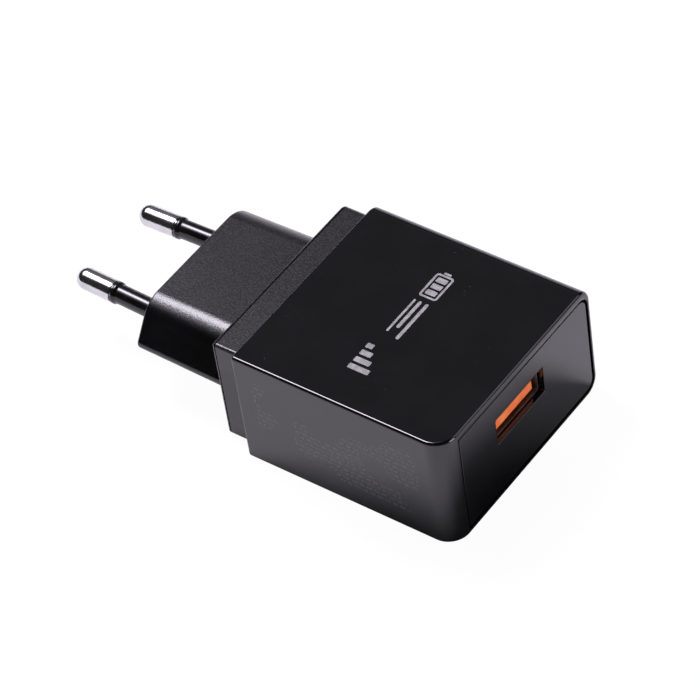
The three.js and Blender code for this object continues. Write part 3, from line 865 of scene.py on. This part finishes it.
def addPlug(bm):
    s = plugShape
    part = bmesh.new()
    ring = bmesh.ops.create_circle(part, cap_ends=True, radius=1, segments=6)["verts"]
    ring = sorted(ring, key=lambda v: math.atan2(v.co.y, v.co.x) % math.tau)
    places = [(-1, -1), (1, -1), (2, 0), (1, 1), (-1, 1), (-2, 0)]
    for v, (across, up) in zip(ring, places):
        x = s["waistHalf"] * across / 2 if up == 0 else s["flatHalf"] * across
        v.co = (x, s["front"], s["axisZ"] + s["rise"] * up)
    part.normal_update()
    face = next(iter(part.faces))
    made = bmesh.ops.extrude_face_region(part, geom=[face])["geom"]
    far = [g for g in made if isinstance(g, bmesh.types.BMVert)]
    bmesh.ops.translate(part, vec=(0, s["end"] - s["front"], 0), verts=far)
    drafted = Matrix.Diagonal((1 - s["draft"] / s["waistHalf"], 1, 1 - s["draft"] / s["rise"]))
    centred = Matrix.Translation((0, 0, -s["axisZ"]))
    bmesh.ops.transform(part, matrix=drafted.to_4x4(), space=centred, verts=far)
    bmesh.ops.recalc_face_normals(part, faces=part.faces)
    slant = math.atan2(s["rise"], s["waistHalf"] - s["flatHalf"])
    along = [e for e in part.edges if runsAlong(e, 1)]
    tips = [e for e in along if abs(middleOf(e).x) > (s["flatHalf"] + s["waistHalf"]) / 2]
    flats = [e for e in along if e not in tips]
    # a bevel's offset is its radius times the tangent of half the turn
    roundOff(part, flats, s["edge"] * math.tan(slant / 2), segments=12)
    tips = [e for e in tips if e.is_valid]
    roundOff(part, tips, s["waistEdge"] * math.tan(math.pi / 2 - slant), segments=8)
    outline = sharpEdges(part, lambda p: p.y > s["end"] - tiny)
    roundOff(part, outline, s["endEdge"], segments=5)
    part.normal_update()

    # a bore for each sleeve through the end face
    end = facing(part, 1, 1)
    border = list(end.edges)
    bmesh.ops.delete(part, geom=[end], context="FACES_ONLY")
    rims = []
    turn = Matrix.Rotation(math.pi / 2, 4, "X")
    for side in (-1, 1):
        circle = bmesh.ops.create_circle(
            part, radius=s["boreRadius"], segments=s["boreSides"], matrix=turn
        )["verts"]
        centre = (side * pinShape["pitch"] / 2, s["end"], s["axisZ"])
        bmesh.ops.translate(part, vec=centre, verts=circle)
        rims.append([e for e in part.edges if all(v in circle for v in e.verts)])
    openEdges = border + rims[0] + rims[1]
    bmesh.ops.triangle_fill(part, edges=openEdges, use_beauty=True, use_dissolve=False)
    for rim in rims:
        wall = bmesh.ops.extrude_edge_only(part, edges=rim)["geom"]
        low = [g for g in wall if isinstance(g, bmesh.types.BMVert)]
        bmesh.ops.translate(part, vec=(0, -s["boreDepth"], 0), verts=low)
        floor = [g for g in wall if isinstance(g, bmesh.types.BMEdge)]
        floor = [e for e in floor if all(v in low for v in e.verts)]
        bmesh.ops.triangle_fill(part, edges=floor, use_beauty=True)
    merge(bm, part)


def makeHousing():
    bm = bmesh.new()
    addCollar(bm)
    addPlug(bm)
    finishPiece(bm, "plug_moulding", ["plug_housing"], plugFinish, crease=45)


makeHousing()
print("collar and plug body made")


def turnedPiece(profile, side):
    s = pinShape
    bm = bmesh.new()
    verts = [bm.verts.new((r, y, 0)) for r, y in profile]
    edges = [bm.edges.new(pair) for pair in zip(verts, verts[1:])]
    bmesh.ops.spin(
        bm,
        geom=verts + edges,
        cent=(0, 0, 0),
        axis=(0, 1, 0),
        angle=math.tau,
        steps=s["sides"],
        use_merge=True,
    )
    bmesh.ops.remove_doubles(bm, verts=bm.verts, dist=cutReach)
    # the pins lean towards each other
    lean = math.atan((s["pitch"] - s["tipPitch"]) / 2 / s["length"])
    turn = Matrix.Rotation(side * lean, 3, "Z")
    bmesh.ops.rotate(bm, cent=(0, 0, 0), matrix=turn, verts=bm.verts)
    root = (side * s["pitch"] / 2, plugShape["end"], plugShape["axisZ"])
    bmesh.ops.translate(bm, vec=root, verts=bm.verts)
    return bm


def makePins():
    s = pinShape
    radius = s["radius"]
    dome = s["length"] - radius
    turns = [math.radians(a) for a in range(s["domeStep"], 90, s["domeStep"])]
    tip = [(radius * math.cos(a), dome + radius * math.sin(a)) for a in turns]
    metal = [*s["metal"], (radius, dome), *tip, (0, s["length"])]
    for side, word in ((-1, "left"), (1, "right")):
        finishPiece(
            turnedPiece(metal, side),
            f"pin_{word}_turned",
            [f"pin_{word}"],
            pinFinish,
            crease=50,
        )
        finishPiece(
            turnedPiece(s["sleeve"], side),
            f"sleeve_{word}_moulded",
            [f"pin_sleeve_{word}"],
            sleeveFinish,
            crease=50,
        )


makePins()
print("pins and sleeves made")


usbLow, usbHigh = limitsOf("usb_shell")
usbShape = {
    "front": usbLow.y,
    "back": usbHigh.y,
    "half": 6.55,
    "z": 14.3,
    "rise": 2.86,
    "sheet": 0.3,
    "bend": 0.75,
    "windowX": 3.2,
    "windowHalf": 1.1,
    "windowFront": 6.0,
    "windowBack": 10.0,
    "tabHalf": 0.8,
    "tabFront": 5.9,
    "tabBack": 9.5,
    "tabBow": 0.75,
    "tabWave": 0.85,
    "tabCuts": 8,
}


def makeReceptacle():
    s = usbShape
    low, high = s["z"] - s["rise"], s["z"] + s["rise"]
    bm = startBlock(-s["half"], s["half"], s["front"], s["back"], low, high)
    roundOff(bm, [e for e in bm.edges if runsAlong(e, 1)], s["bend"], segments=5)
    bm.normal_update()
    mouth = facing(bm, 1, -1)
    bmesh.ops.inset_region(bm, faces=[mouth], thickness=s["sheet"], use_even_offset=True)
    end = pullFace(bm, mouth, (0, s["back"] - s["front"], 0))
    openThrough(bm, end, facing(bm, 1, 1))
    for side in (-1, 1):
        middle = side * s["windowX"]
        cutAcross(bm, 0, (middle - s["windowHalf"], middle + s["windowHalf"]))
    cutAcross(bm, 1, (s["windowFront"], s["windowBack"]))
    bm.normal_update()

    def inWindow(face, side, up):
        p = face.calc_center_median()
        return (
            abs(face.normal.z) > facingShare
            and (p.z - s["z"]) * up > 0
            and abs(p.x - side * s["windowX"]) < s["windowHalf"]
            and s["windowFront"] < p.y < s["windowBack"]
        )

    for up in (-1, 1):
        for side in (-1, 1):
            openThrough(bm, *[f for f in bm.faces if inWindow(f, side, up)])
            addTab(bm, side, up)
    finishPiece(
        bm, "usb_receptacle_sheet", ["usb_shell"], steelFinish, crease=40
    )


def addTab(bm, side, up):
    # a spring finger that bows into the opening
    s = usbShape
    x = side * s["windowX"]
    outer = s["z"] + up * s["rise"]
    low, high = sorted((outer, outer - up * s["sheet"]))
    front, back = s["tabFront"], s["tabBack"]
    tab = startBlock(x - s["tabHalf"], x + s["tabHalf"], front, back, low, high)
    along = [e for e in tab.edges if runsAlong(e, 1)]
    bmesh.ops.subdivide_edges(tab, edges=along, cuts=s["tabCuts"], use_grid_fill=True)
    for v in tab.verts:
        share = (v.co.y - front) / (back - front)
        v.co.z -= up * s["tabBow"] * math.sin(math.pi * s["tabWave"] * share) ** 2
    merge(bm, tab)


makeReceptacle()
print("receptacle made")


easedShape = {"tongueEdge": 0.12, "contactEdge": 0.05, "sharpFrom": 35, "flatWithin": 2}


def easedPiece(node, material, radius, segments):
    # rounds a CAD node's edges and keeps the rest of its shape
    s = easedShape
    bm = bmesh.new()
    bm.from_mesh(frame["nodes"][node].data)
    bmesh.ops.scale(bm, vec=(1 / millimetre,) * 3, verts=bm.verts)
    bmesh.ops.translate(bm, vec=(0, -shellFront, 0), verts=bm.verts)
    bmesh.ops.remove_doubles(bm, verts=bm.verts, dist=mergeReach)
    bmesh.ops.dissolve_limit(
        bm,
        angle_limit=math.radians(s["flatWithin"]),
        verts=bm.verts,
        edges=bm.edges,
        use_dissolve_boundaries=False,
    )
    bmesh.ops.recalc_face_normals(bm, faces=bm.faces)
    roundOff(bm, sharpEdges(bm, degrees=s["sharpFrom"]), radius, segments)
    finishPiece(bm, node + "_eased", [node], material, crease=s["sharpFrom"])


easedPiece("usb_tongue", tongueFinish, easedShape["tongueEdge"], segments=3)
for number in range(1, 5):
    contact = f"usb_contact_{number}"
    easedPiece(contact, goldFinish, easedShape["contactEdge"], segments=2)
print("tongue and contacts made")


markShape = {
    "low": 23.47,
    "high": 23.495,
    "batteryX": 8.6,
    "batteryY": 21.5,
    "batteryHalf": (2.9, 1.75),
    "batteryCorner": 0.6,
    "line": 0.4,
    # the battery's knob, from its end, and the cells inside it
    "knob": (0.15, 0.6),
    "knobHalf": 0.7,
    "cells": (-1.55, 0, 1.55),
    "cellHalf": 0.55,
    "cellInset": 0.75,
    "cellCorner": 0.15,
    # left, right, front, width
    "bars": [
        (-4.4, 4.6, 20.2, 0.62),
        (-2.2, 4.6, 21.55, 0.62),
        (-3.6, 4.6, 22.75, 0.42),
    ],
    "barCorner": 0.45,
    # right edge, height
    "steps": [(-7.2, 1.3), (-8.9, 2.2), (-10.6, 3.1), (-12.3, 4.0)],
    "stepEnd": 24.0,
    "stepWidth": 1.1,
    "stepCorner": 0.2,
}


def startPlate(left, right, front, back, corner):
    part = startBlock(left, right, front, back, markShape["low"], markShape["high"])
    roundOff(part, [e for e in part.edges if runsAlong(e, 2)], corner, segments=4)
    return part


def makeMark():
    s = markShape
    bm = bmesh.new()
    x, y = s["batteryX"], s["batteryY"]
    halfX, halfY = s["batteryHalf"]
    ring = startPlate(x - halfX, x + halfX, y - halfY, y + halfY, s["batteryCorner"])
    ring.normal_update()
    upper, lower = facing(ring, 2, 1), facing(ring, 2, -1)
    for face in (upper, lower):
        bmesh.ops.inset_region(ring, faces=[face], thickness=s["line"], use_even_offset=True)
    openThrough(ring, upper, lower)
    merge(bm, ring)
    left, right = (x + halfX + reach for reach in s["knob"])
    half, corner = s["knobHalf"], s["cellCorner"]
    merge(bm, startPlate(left, right, y - half, y + half, corner))
    front, back = y - halfY + s["cellInset"], y + halfY - s["cellInset"]
    for cell in s["cells"]:
        left = x + cell - s["cellHalf"]
        merge(bm, startPlate(left, left + 2 * s["cellHalf"], front, back, corner))
    for left, right, front, wide in s["bars"]:
        merge(bm, startPlate(left, right, front, front + wide, wide * s["barCorner"]))
    for right, tall in s["steps"]:
        left, end = right - s["stepWidth"], s["stepEnd"]
        merge(bm, startPlate(left, right, end - tall, end, s["stepCorner"]))
    finishPiece(bm, "top_mark", [], printFinish)


makeMark()
print("top mark made")


# dark shade, light shade, then the roughness where it is polished and where it is dull
insideFinishes = {
    "insulation_film": plainPlastic(
        "filmWhite", shadeOf(0.62), shadeOf(0.72, (1, 1, 0.95)), 0.3, 0.45
    ),
    "board_green": plainPlastic(
        "solderMask", (0.012, 0.09, 0.035, 1), (0.022, 0.13, 0.05, 1), 0.28, 0.4, 300, grain=0.004
    ),
    "ferrite": plainPlastic(
        "sinteredFerrite", shadeOf(0.03), shadeOf(0.055), 0.55, 0.75, grain=0.02
    ),
    "bobbin_black": plainPlastic(
        "phenolic", shadeOf(0.018), shadeOf(0.03), 0.4, 0.55, grain=0.006
    ),
    "yellow_tape": plainPlastic(
        "windingTape", (0.7, 0.47, 0.04, 1), (0.8, 0.56, 0.07, 1), 0.25, 0.4
    ),
    "capacitor_sleeve": plainPlastic(
        "shrinkSleeve", (0.015, 0.02, 0.035, 1), (0.025, 0.03, 0.05, 1), 0.2, 0.35
    ),
    "disc_blue": plainPlastic(
        "dippedBlue",
        (0.02, 0.09, 0.38, 1),
        (0.04, 0.14, 0.5, 1),
        0.25,
        0.4,
        grain=0.008,
        grainScale=900,
    ),
    "disc_green": plainPlastic(
        "dippedGreen",
        (0.02, 0.16, 0.07, 1),
        (0.04, 0.23, 0.11, 1),
        0.25,
        0.4,
        grain=0.008,
        grainScale=900,
    ),
    "resistor_tan": plainPlastic(
        "coatedCeramic", (0.4, 0.32, 0.2, 1), (0.5, 0.42, 0.3, 1), 0.5, 0.7, grain=0.012
    ),
    "chip_black": plainPlastic(
        "epoxyPackage", shadeOf(0.009), shadeOf(0.016), 0.45, 0.6, grain=0.008
    ),
    "thermal_pad": plainPlastic(
        "filledSilicone", (0.22, 0.26, 0.32, 1), (0.3, 0.34, 0.4, 1), 0.7, 0.85, grain=0.02
    ),
    "wire_black": plainPlastic("blackInsulation", shadeOf(0.008), shadeOf(0.014), 0.35, 0.5),
    "wire_red": plainPlastic(
        "redInsulation", (0.36, 0.012, 0.012, 1), (0.45, 0.02, 0.02, 1), 0.35, 0.5
    ),
    "copper_wire": drawnMetal(
        "enamelledCopper",
        shadeOf(0.5, (1.0, 0.38, 0.14)),
        shadeOf(0.66, (1.0, 0.42, 0.18)),
        0.2,
        0.35,
        stretch=(600, 600, 4500),
        depth=0.02,
    ),
    "aluminium_can": drawnMetal(
        "drawnCan",
        shadeOf(0.66),
        shadeOf(0.78),
        0.22,
        0.34,
        stretch=(900, 900, 140),
        depth=0.002,
    ),
    "aluminium_sheet": drawnMetal(
        "rolledAluminium",
        shadeOf(0.62),
        shadeOf(0.74),
        0.3,
        0.45,
        stretch=(1800, 80, 1800),
        depth=0.003,
    ),
}
slotOf = {row["node"]: row["material_slot"] for row in frame["record"]["subparts"]}
for name, node in frame["nodes"].items():
    if not node.hide_render:
        node.data.materials.clear()
        node.data.materials.append(insideFinishes[slotOf[name]])
print("inside parts finished")


floorLook = {
    "reach": 6,  # metres each way
    "drop": 0.1,  # mm
    "pale": shadeOf(0.88),
    # a painted shadow: the floor's colour darkens towards this middle, fading out between these
    # distances
    "shaded": shadeOf(0.01),
    "middle": (-0.008, -0.036, 0),
    "shadeFrom": 0.006,
    "shadeTo": 0.03,
    "dullness": 0.9,
    "whiteShare": 0.95,
    "glow": 1.02,
}


def floorMaterial():
    # The camera sees it lifted towards white.
    # Reflections see it lit, with a painted shadow: a soft dark pool by the charger.
    look = floorLook
    material, tree, shader, where = startMaterial("paleFloor", Roughness=look["dullness"])
    away = addNode(tree, "ShaderNodeVectorMath", operation="DISTANCE")
    tree.links.new(where, away.inputs[0])
    away.inputs[1].default_value = look["middle"]
    clear = spread(tree, away.outputs["Value"], look["shadeFrom"], look["shadeTo"], 0, 1)
    colour = blendColours(tree, clear, look["shaded"], look["pale"])
    tree.links.new(colour, shader["Base Color"])
    end = next(n for n in tree.nodes if n.type == "OUTPUT_MATERIAL")
    lit = end.inputs["Surface"].links[0].from_socket
    glow = addNode(tree, "ShaderNodeEmission")
    glow.inputs["Strength"].default_value = look["glow"]
    path = addNode(tree, "ShaderNodeLightPath")
    mix = addNode(tree, "ShaderNodeMixShader")
    share = maths(tree, "MULTIPLY", path.outputs["Is Camera Ray"], look["whiteShare"])
    tree.links.new(share, mix.inputs[0])
    tree.links.new(lit, mix.inputs[1])
    tree.links.new(glow.outputs["Emission"], mix.inputs[2])
    tree.links.new(mix.outputs["Shader"], end.inputs["Surface"])
    return material


def makeFloor():
    bm = bmesh.new()
    bmesh.ops.create_grid(bm, x_segments=1, y_segments=1, size=floorLook["reach"])
    bmesh.ops.translate(bm, vec=(0, 0, -floorLook["drop"] * millimetre), verts=bm.verts)
    mesh = bpy.data.meshes.new("floor")
    bm.to_mesh(mesh)
    bm.free()
    mesh.materials.append(floorMaterial())
    floor = bpy.data.objects.new("floor", mesh)
    scene.collection.objects.link(floor)


makeFloor()

lampTint = (1.0, 0.955, 1.08)
lamps = {
    # towards the lamp, distance, width, height, radiance
    "overheadBox": ((0.05, 0.5, 0.85), 0.95, 0.66, 0.6, 2.0),
    "overheadStrip": ((0.09, 0.475, 0.875), 0.9, 0.3, 0.42, 20.0),
    "rightFill": ((0.62, 0.35, 0.7), 1.5, 1.2, 1.2, 0.14),
    "rearRim": ((0.86, 0.47, 0.1), 1.2, 0.5, 0.3, 0.6),
    "rimFill": ((0.52, -0.55, 0.65), 1.2, 0.5, 0.9, 1.4),
    "frontFill": ((0.1, -0.95, 0.25), 1.0, 0.4, 0.3, 10.0),
}


def addLamp(name, towards, distance, width, height, radiance):
    data = bpy.data.lights.new(name, "AREA")
    data.shape = "RECTANGLE"
    data.size = width
    data.size_y = height
    data.energy = radiance * math.pi * width * height
    data.color = lampTint
    lamp = bpy.data.objects.new(name, data)
    way = Vector(towards).normalized()
    lamp.location = way * distance
    lamp.rotation_euler = way.to_track_quat("Z", "Y").to_euler()
    scene.collection.objects.link(lamp)


for name, values in lamps.items():
    addLamp(name, *values)

worldLook = {"dim": shadeOf(0.03), "white": shadeOf(1.0)}


def makeWorld():
    # the camera sees white, and everything else a dim room
    world = bpy.data.worlds.new("studio")
    scene.world = world
    world.use_nodes = True
    tree = world.node_tree
    tree.nodes.clear()
    end = addNode(tree, "ShaderNodeOutputWorld")
    path = addNode(tree, "ShaderNodeLightPath")
    mix = addNode(tree, "ShaderNodeMixShader")
    tree.links.new(path.outputs["Is Camera Ray"], mix.inputs[0])
    for index, shade in ((1, worldLook["dim"]), (2, worldLook["white"])):
        background = addNode(tree, "ShaderNodeBackground")
        background.inputs["Color"].default_value = shade
        tree.links.new(background.outputs[0], mix.inputs[index])
    tree.links.new(mix.outputs[0], end.inputs["Surface"])


makeWorld()

cameraLook = {
    "place": (-0.33035, -0.30514, 0.45849),
    "turn": (44.349, 6.466, -54.602),
    "lens": 195.43,
    "sensor": 36.0,
}


def makeCamera():
    data = bpy.data.cameras.new("camera")
    data.lens = cameraLook["lens"]
    data.sensor_width = cameraLook["sensor"]
    camera = bpy.data.objects.new("camera", data)
    camera.location = cameraLook["place"]
    camera.rotation_euler = [math.radians(a) for a in cameraLook["turn"]]
    scene.collection.objects.link(camera)
    scene.camera = camera


makeCamera()
scene.view_settings.view_transform = "Standard"
print("floor, light and camera placed")
